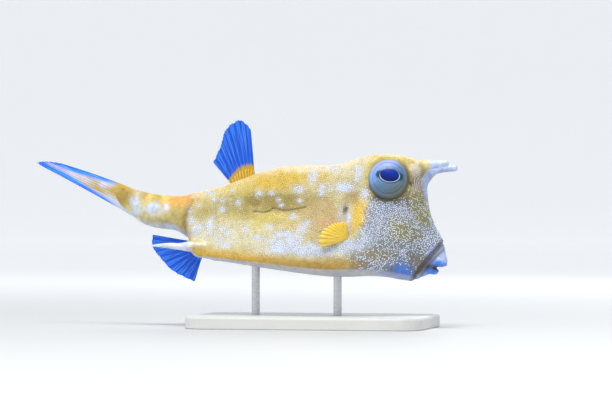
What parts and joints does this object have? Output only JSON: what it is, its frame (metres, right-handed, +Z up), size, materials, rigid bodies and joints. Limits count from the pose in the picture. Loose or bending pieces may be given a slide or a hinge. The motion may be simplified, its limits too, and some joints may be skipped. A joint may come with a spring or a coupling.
{
  "type": "longhorn cowfish display model",
  "caption": "Life-size longhorn cowfish swimming with its tail swung up, held by two rods on a plain slab.",
  "frame": {"origin": "centre of the bounding box, on the underside of the stand's base", "axes": "+X towards the fish's snout, +Y to its left side, +Z up"},
  "size_m": [0.3147, 0.1, 0.15],
  "materials": {
    "skin": "satin, granular plates",
    "pale_skin": "satin",
    "fin_base": "satin",
    "fin": "glossy, translucent",
    "eye": "glossy",
    "base": "satin",
    "rod": "brushed"
  },
  "bodies": {
    "root": {"tail_stem": "skin", "trunk": "skin", "head": "skin", "snout": "pale_skin", "lip_upper": "pale_skin", "lip_lower": "pale_skin", "horn_right": "pale_skin", "horn_left": "pale_skin", "spine_right": "pale_skin", "spine_left": "pale_skin", "eye_ring_right": "pale_skin", "eye_ring_left": "pale_skin", "eye_right": "eye", "eye_left": "eye", "dorsal_fin_base": "fin_base", "dorsal_fin": "fin", "anal_fin_base": "fin_base", "anal_fin": "fin", "pectoral_fin_right_base": "fin_base", "pectoral_fin_right": "fin", "pectoral_fin_left_base": "fin_base", "pectoral_fin_left": "fin", "caudal_fin": "fin", "stand_base": "base", "stand_rod_rear": "rod", "stand_rod_front": "rod"}
  },
  "joints": []
}
